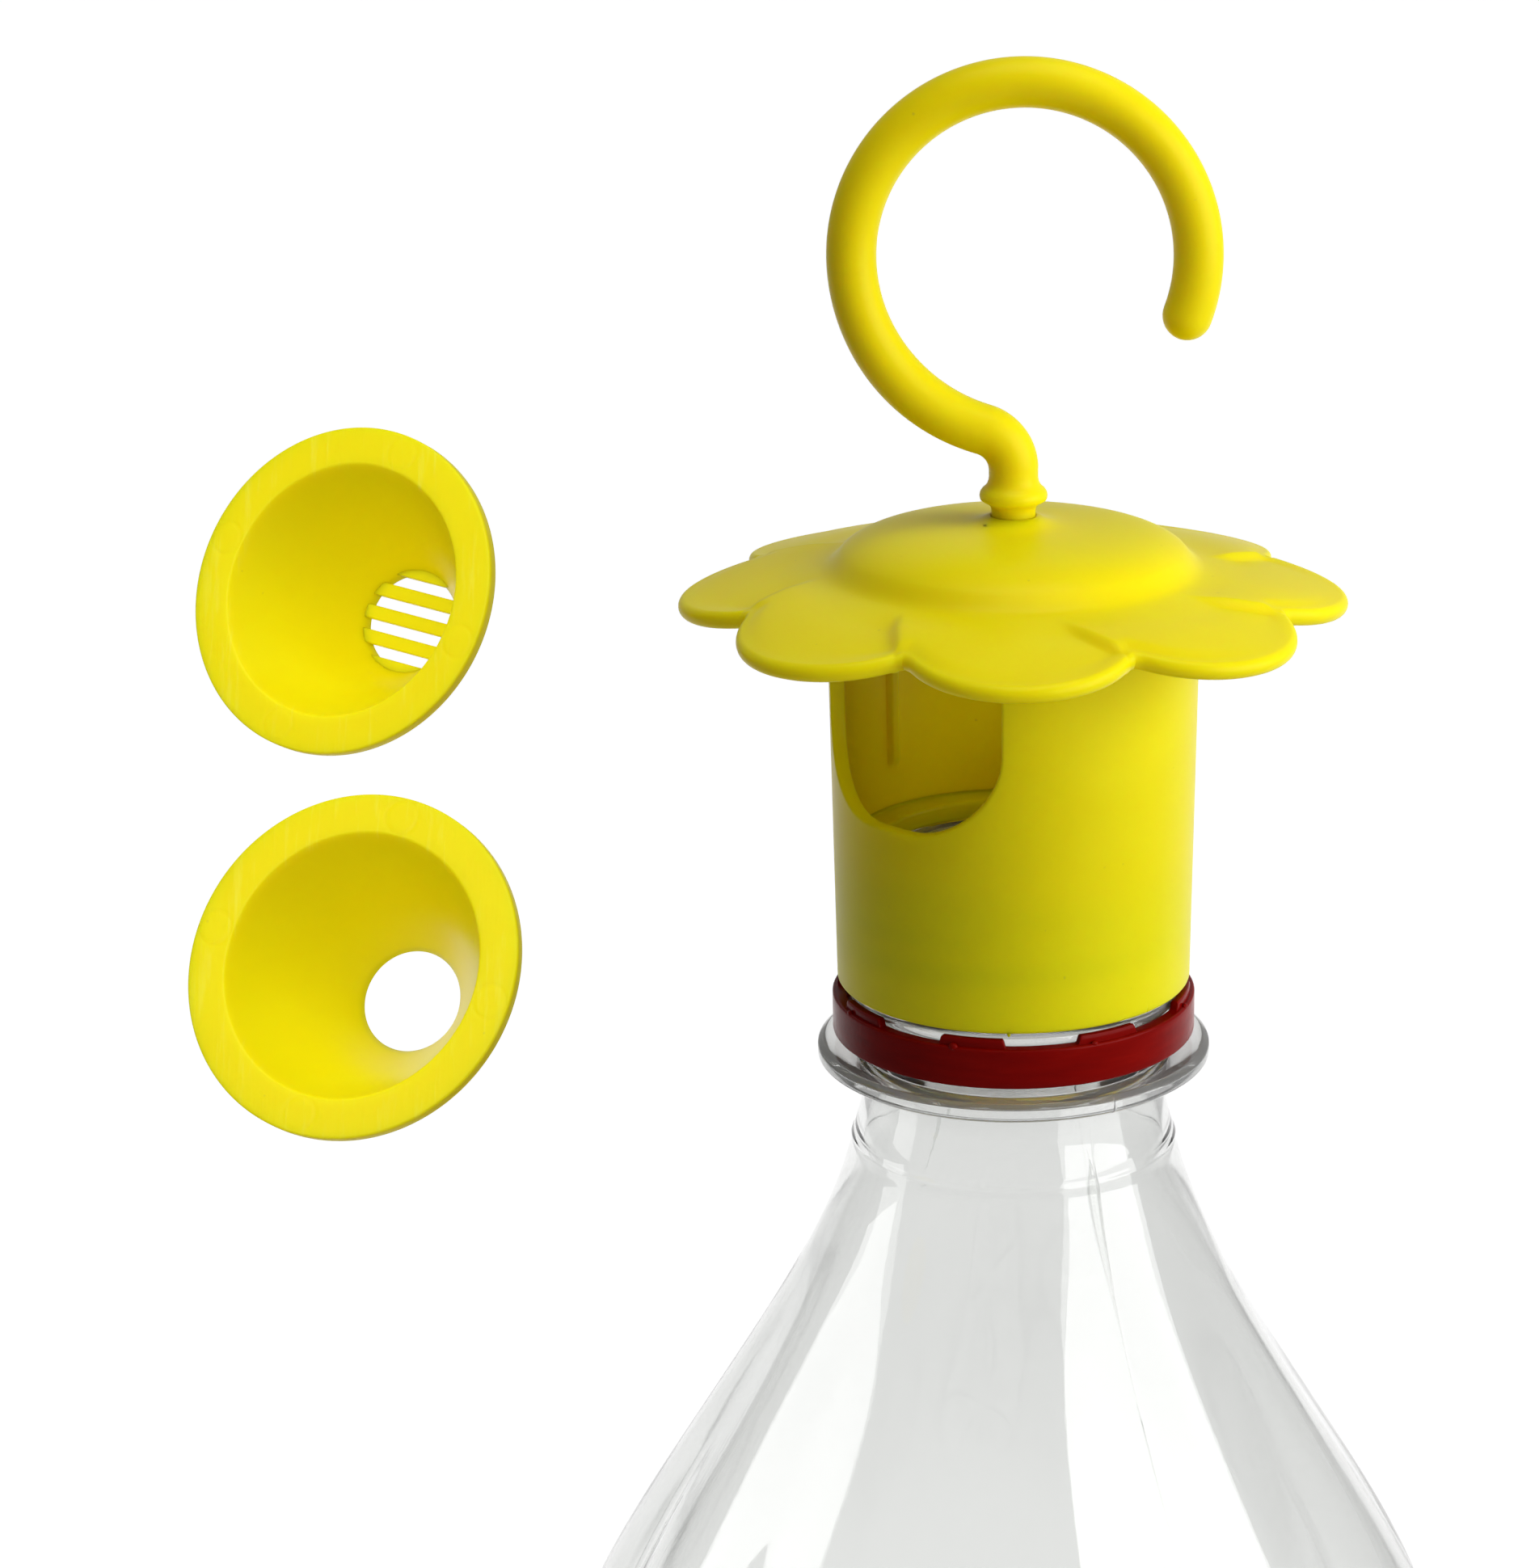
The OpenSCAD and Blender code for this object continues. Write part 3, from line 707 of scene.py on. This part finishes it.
def flower_lid():
    """The outline (r, z) of one cut through the lid, carried round while the petals' reach changes. From
    the stem's hole it runs over the dome, down its soft foot and out along the petal, round the rounded
    rim, back under the petal, down and up the spigot, and in under the dome. Each petal stands a little
    higher on its left than on its right, so it seems to lie over its neighbour, and the line between two
    of them sweeps left by 1.6 degrees a millimetre on its way in to the dome."""
    angles = turn_angles(960)
    reach = petal_reach(angles)
    dome_line = np.vstack([
        bezier((1.86, 44.80), (1.87, 44.92), (1.90, 44.95), (2.05, 44.92), 4),
        bezier((2.3, 44.80), (2.9, 44.45), (3.6, 44.30), (4.6, 44.22), 10),
        bezier((5.0, 44.19), (8.6, 44.0), (12.3, 43.6), (14.0, 42.1), 24),
        bezier((14.2, 41.86), (14.65, 41.35), (14.9, 40.85), (15.7, 40.6), 10)])
    rows = [np.broadcast_to(p, (len(angles), 2)) for p in dome_line]
    root_z, tip_z, petal_wide, rim = 40.57, 38.44, PETAL_TIP_R - PETAL_ROOT_R, 0.74
    swirl, swirl_r = math.radians(1.6), 24
    line_turn, line_r = math.radians(0.75), 18

    def top_z(r):
        half = math.pi / PETALS
        swirled = (angles - PETAL_AT - swirl * (r - swirl_r) + half) % (2 * half) - half
        edge = half - np.abs(swirled)
        line = np.exp(-(edge / (line_turn * line_r / np.maximum(r, 1))) ** 2)
        grown = rise(r, 16.2, 19.5)
        fade = 1 - rise(r, reach - 2.2, reach - 0.9)
        overlap = -0.30 * swirled / half * (1 - line) * grown * fade
        droop = -0.30 * rise(r, 20, 27)
        share = (r - PETAL_ROOT_R) / petal_wide
        bulge = 0.12 * np.sin(np.clip(share, 0, 1) * math.pi)
        return root_z - (root_z - tip_z) * share + bulge + droop + overlap - 0.10 * line * grown

    steps = np.linspace(0, 1, 16)[1:]
    for s in steps:
        r = PETAL_ROOT_R + (reach - rim - PETAL_ROOT_R) * s
        rows.append(np.stack([r, top_z(r)], -1))
    middle_r = reach - rim
    middle_z = top_z(middle_r) - rim
    for a in np.linspace(0, math.pi, 15)[1:]:
        rows.append(np.stack([middle_r + rim * np.sin(a), middle_z + rim * np.cos(a)], -1))
    under_start = middle_z - rim
    foot_r, foot_z = 15.9, 39.15
    for s in steps:
        r = middle_r + (foot_r - middle_r) * s
        z = under_start + (foot_z - under_start) * s
        rows.append(np.stack([r, z], -1))
    inside = np.vstack([
        [(15.2, foot_z), (14.2, foot_z), (13.8, 39.1), (13.65, 38.9), (13.65, 38)],
        bezier((13.65, 37.3), (13.65, 36.95), (13.5, 36.9), (13.1, 36.9), 5),
        bezier((12.9, 36.9), (12.6, 36.9), (12.55, 37.1), (12.55, 37.4), 5),
        [(12.55, 38.4), (12.5, 39.4)],
        bezier((12.4, 40.3), (12.0, 41.9), (9.5, 42.6), (5.2, 42.85), 12),
        bezier((4.2, 42.88), (3.5, 42.88), (3.4, 42.7), (3.4, 42.3), 5),
        [(3.4, 41.7)],
        bezier((3.4, 41.55), (3.35, 41.4), (3.2, 41.4), (3.0, 41.4), 4),
        [(2.2, 41.4)],
        bezier((2.05, 41.4), (1.86, 41.4), (1.86, 41.5), (1.86, 41.7), 4),
        [(1.86, 42.5), (1.86, 43.4)]])
    rows += [np.broadcast_to(p, (len(angles), 2)) for p in inside]
    profile = np.stack(rows)
    shells = [(lathe(profile, angles), True, True)]
    shells.append(dome(math.radians(-52), 2.9, 44.42, (0.16, 0.24, 0.12)))
    return add_piece("yellow_flower_lid", shells, yellow, "flower_lid", ["flower_lid"])


flower_lid()


# ---------------------------------------------------------------------------
# Hook
# ---------------------------------------------------------------------------
ROD_R = 2.0


def arc_line(x, z, radius, start, stop, count):
    """Points of an arc in the hook's plane, round (x, z), from one angle to another in degrees."""
    a = np.radians(np.linspace(start, stop, count))
    return np.stack([x + radius * np.cos(a), 0 * a, z + radius * np.sin(a)], -1)


def hook():
    """One skin from the snap head to the tip. The head, stem and collar are a turned outline. The rod
    runs on from it straight up, bends left on a tight arc, and swings round a large arc and the full
    round of the hook to a ball end."""
    path = np.vstack([
        [(0, 0, z) for z in np.linspace(48.1, 48.6, 3)],
        arc_line(-3.4, 48.74, 3.4, 0, 73.5, 26),
        arc_line(1.71, 66, 14.6, 253.5, 180, 60)[1:],
        arc_line(0.91, 66, 13.8, 180, -20, 150)[1:]])
    more, less = round_end(path, ROD_R, 10)
    line = np.vstack([path, more])
    swell = 0.08 * np.exp(-((path[:, 2] - 55) / 5) ** 2) * (path[:, 0] < 0)
    rod = tube(line, 64, np.concatenate([ROD_R + swell, less]), (0, 1, 0))
    head = np.vstack([
        [(0, 39.6), (1.1, 39.6)],
        bezier((1.4, 39.6), (1.8, 39.9), (2.3, 40.3), (2.5, 40.6), 6),
        [(2.5, 40.85), (2.35, 41.0), (1.85, 41.05), (1.8, 41.15), (1.8, 42.5), (1.8, 44), (1.8, 45.3)],
        bezier((1.82, 45.5), (1.9, 45.85), (2.2, 45.95), (2.5, 46.12), 8),
        bezier((2.68, 46.25), (2.80, 46.5), (2.78, 46.75), (2.66, 46.95), 8),
        bezier((2.52, 47.15), (2.3, 47.3), (2.1, 47.5), (2.03, 47.9), 8)])
    skin = np.concatenate([lathe(head, turn_angles(64) + math.pi / 2), rod], 0)
    return add_piece("yellow_hook", [(skin, False, True)], yellow, "hook", ["hook"])


hook()


# ---------------------------------------------------------------------------
# Funnel inserts
# ---------------------------------------------------------------------------
RIM_R, RIM_T, MOUTH_R, FUNNEL_H, TIP_HOLE_R, CONE_WALL = 13.6, 1.2, 10.55, 12.4, 3.95, 0.9


def place(grid, spot, turn, dip, roll):
    """Lays a funnel in its place: it is rolled about its own axis, its tip is laid over from +Z to +Y and
    dipped below level, then it is turned about +Z and moved. All turns are in degrees."""
    roll, dip, turn = (math.radians(v) for v in (roll, dip, turn))
    c, s = math.cos(roll), math.sin(roll)
    roll_m = np.array([[c, -s, 0], [s, c, 0], [0, 0, 1]])
    a = -(math.pi / 2 + dip)
    c, s = math.cos(a), math.sin(a)
    lay_m = np.array([[1, 0, 0], [0, c, -s], [0, s, c]])
    c, s = math.cos(turn), math.sin(turn)
    turn_m = np.array([[c, -s, 0], [s, c, 0], [0, 0, 1]])
    return grid @ (turn_m @ lay_m @ roll_m).T + np.array(spot)


def funnel_wall(pin_turn):
    """The funnel with its rim face at z = 0: mouth, cone, tip hole, the cone's outside and the rim, as one
    closed outline turned round. The rim's face carries four shallow circles, each a Gaussian groove at a
    fixed distance from its middle."""
    slope = (MOUTH_R - TIP_HOLE_R) / FUNNEL_H
    shell = CONE_WALL * math.sqrt(1 + slope * slope)
    cone_r = MOUTH_R - slope * RIM_T + shell
    outline = rounded([
        (MOUTH_R, 0, 0.22), (RIM_R, 0, 0.18), (RIM_R, RIM_T, 0.25), (cone_r, RIM_T, 0.35),
        (TIP_HOLE_R + shell * 0.96, FUNNEL_H, 0.25), (TIP_HOLE_R, FUNNEL_H, 0.18)], arc=6, stretch=0.16)
    flat = np.abs(outline[:, 1]) < 1e-6
    keep = np.ones(len(outline), bool)
    keep[~flat] = np.arange((~flat).sum()) % 5 == 0
    arcs = np.linalg.norm(np.roll(outline, -1, 0) - outline, axis=1) < 0.12
    outline = outline[keep | arcs]
    angles = turn_angles(480)
    grid = lathe(outline, angles)
    on_face = (np.abs(outline[:, 1]) < 0.02)[:, None]
    pin_at_r, pin_r = 12.05, 1.32
    for i in range(4):
        at = pin_turn + i * math.pi / 2
        away = np.hypot(grid[..., 0] - pin_at_r * math.sin(at), grid[..., 1] + pin_at_r * math.cos(at))
        groove = 0.055 * np.exp(-((away - pin_r) / 0.11) ** 2) - 0.012 * (away < pin_r)
        grid[..., 2] += groove * on_face
    return grid


def grille_bar(low, high, reach_r, z0, z1):
    """A bar of the grille between two heights across the hole: its rounded section is carried from one
    side of the hole to the other, and where the hole's edge comes nearer it is narrowed to that edge."""
    near = min(abs(low), abs(high)) if low * high > 0 else 0
    half = math.sqrt(reach_r ** 2 - near ** 2)
    x = half * np.sin(np.linspace(-math.pi / 2, math.pi / 2, 31))
    edge = np.sqrt(np.clip(reach_r ** 2 - x ** 2, 0, None))
    top = np.minimum(high, edge)
    bottom = np.maximum(low, -edge)
    section = rounded([(0, 0, 0.14), (1, 0, 0.14), (1, 1, 0.14), (0, 1, 0.14)], arc=4, stretch=9)
    y = bottom[:, None] + (top - bottom)[:, None] * section[:, 0]
    z = np.broadcast_to(z0 + (z1 - z0) * section[:, 1], y.shape)
    return np.stack([np.broadcast_to(x[:, None], y.shape), y, z], -1)


def funnel(name, body, spot, turn, dip, roll, grille):
    """One insert, laid in its place, with or without the grille in its tip."""
    inward = place(np.array([[0, 0, 1.0]]), (0, 0, 0), turn, dip, roll)[0]
    face = float(np.dot(inward, np.add(spot, (0, 0, RING_Z)))) * MM
    lines = (math.radians(dip), 0, math.radians(turn + 10))
    finish = moulded_yellow(name + "_finish", (lines, tuple(map(float, inward)), face), 0.12)
    if grille:
        slot, step, past_hole = 0.9, 2.06, 5
        edges = [-past_hole]
        edges += [at * step + side * slot / 2 for at in (-1.5, -0.5) for side in (-1, 1)]
        edges += [-v for v in edges[::-1]]
        bars = [grille_bar(a, b, TIP_HOLE_R + 0.6, FUNNEL_H - 0.85, FUNNEL_H - 0.05)
                for a, b in zip(edges[0::2], edges[1::2])]
        shells = [(place(bar, spot, turn, dip, roll), False, True) for bar in bars]
        add_piece("yellow_grille_bars_of_funnel", shells, finish, body, [body])
    wall = place(funnel_wall(math.radians(8)), spot, turn, dip, roll)
    return add_piece(name, [(wall, True, True)], finish, body, [body])


funnel("yellow_open_funnel", "open_funnel", (-50.8, -27.6, 16.3), -17.3, 33.2, 0, False)
funnel("yellow_grille_funnel", "grille_funnel", (-54.6, -1.5, 39.1), -23.3, 27.2, 7, True)


# ---------------------------------------------------------------------------
# Floor, light and camera
# ---------------------------------------------------------------------------
def floor():
    """A wide pale sheet at the bottle's foot with a faint paper tone. Behind the trap it is lit through
    from below, like a light table: the glow is a smooth step of y that fades out at both sides."""
    f = Finish("pale_floor")
    tone = f.noise(3.0, 3, 0.5)
    spot = f.node("ShaderNodeSeparateXYZ")
    f.join(f.coords.outputs["Object"], spot.inputs[0])
    behind = f.span(spot.outputs["Y"], 0.0, 1.0, 0.14, 0.40)
    aside = f.span(f.maths("ABSOLUTE", f.maths("ADD", spot.outputs["X"], 0.2), 0.0), 1.0, 0.0, 1.1, 1.5)
    lit = f.maths("MULTIPLY", behind, aside)
    path = f.node("ShaderNodeLightPath")
    seen = f.maths("SUBTRACT", 1.0, path.outputs["Is Diffuse Ray"])
    plain = f.maths("MULTIPLY", f.maths("SUBTRACT", 1.0, lit), seen)
    glow = f.maths("ADD", f.maths("MULTIPLY", lit, 0.92), f.maths("MULTIPLY", plain, 0.35))
    f.set(Emission_Color=(1.0, 1.0, 1.0), Emission_Strength=glow)
    f.set(Base_Color=f.ramp(tone, [(0.3, (0.59, 0.59, 0.585)), (0.7, (0.62, 0.62, 0.62))]), Roughness=0.9,
          Specular_IOR_Level=0.1)
    mesh = bpy.data.meshes.new("floor")
    reach = 9.0
    mesh.from_pydata([(-reach, -reach, 0), (reach, -reach, 0), (reach, reach, 0), (-reach, reach, 0)], [],
                     [(0, 1, 2, 3)])
    mesh.materials.append(f.material)
    sheet = bpy.data.objects.new("floor", mesh)
    bpy.context.scene.collection.objects.link(sheet)
    sheet.location.z = -0.0004


def soft_box(name, spot, aim, width, height, glow):
    """An oblong studio light turned from its spot towards its aim. glow is the brightness of its face,
    where 1 is white."""
    lamp = bpy.data.lights.new(name, "AREA")
    lamp.shape = "RECTANGLE"
    lamp.size, lamp.size_y = width, height
    lamp.energy = math.pi * width * height * glow
    holder = bpy.data.objects.new(name, lamp)
    holder.location = spot
    holder.rotation_euler = (Vector(aim) - Vector(spot)).to_track_quat("-Z", "Y").to_euler()
    bpy.context.scene.collection.objects.link(holder)
    return holder


def around(bearing, height, distance):
    """A place round the trap's head: its bearing from the front towards +X and its height above level, in
    degrees, and its distance in metres."""
    turn, lift = math.radians(bearing), math.radians(height)
    return (distance * math.cos(lift) * math.sin(turn), -distance * math.cos(lift) * math.cos(turn),
            HEAD[2] + distance * math.sin(lift))


def studio():
    """A broad key light from the right front and a soft light overhead. A strip from the left shows only
    in the clear bottle. The two inserts have a lamp of their own in front of their mouths in place of the
    key. The room's own light is low on the solid pieces and fuller in what the clear wall shows."""
    inserts = (-0.055, -0.01, HEAD[2] + 0.015)
    key = soft_box("key", around(64, 16, 0.46), HEAD, 0.50, 0.38, 3.8)
    soft_box("overhead", around(30, 78, 0.42), HEAD, 0.30, 0.30, 2.8)
    strip = soft_box("left_strip", around(-91, 12, 0.50), HEAD, 0.17, 0.25, 2.8)
    lamp = soft_box("insert_light", around(-20, 36, 0.42), inserts, 0.24, 0.20, 7.6)
    for light, ending, state in ((strip, "_bottle", "INCLUDE"), (lamp, "_funnel", "INCLUDE"),
                                 (key, "_funnel", "EXCLUDE")):
        named = bpy.data.collections.new(light.name + "_linked")
        for piece in bpy.data.objects:
            if piece.name.endswith(ending):
                named.objects.link(piece)
        for entry in named.collection_objects:
            entry.light_linking.link_state = state
        light.light_linking.receiver_collection = named
    world = bpy.data.worlds.new("room")
    world.use_nodes = True
    nodes, links = world.node_tree.nodes, world.node_tree.links
    kind = nodes.new("ShaderNodeLightPath")
    level = nodes.new("ShaderNodeMapRange")
    level.inputs["To Min"].default_value = 0.55
    level.inputs["To Max"].default_value = 0.13
    links.new(kind.outputs["Is Diffuse Ray"], level.inputs["Value"])
    links.new(level.outputs["Result"], nodes["Background"].inputs["Strength"])
    nodes["Background"].inputs["Color"].default_value = (1, 1, 1, 1)
    bpy.context.scene.world = world
    bpy.context.scene.view_settings.view_transform = "Standard"


def camera():
    """A long lens a little above the trap's head, looking down at it."""
    view = bpy.data.cameras.new("camera")
    view.lens = 93.34
    view.sensor_width = 36
    view.shift_x = -0.1556
    view.clip_start = 0.02
    view.clip_end = 60
    stand = bpy.data.objects.new("camera", view)
    stand.location = (0, -0.32053, RING_Z * MM + 0.12366)
    stand.rotation_euler = (math.pi / 2 - 0.307, 0, 0)
    bpy.context.scene.collection.objects.link(stand)
    bpy.context.scene.camera = stand


floor()
studio()
camera()
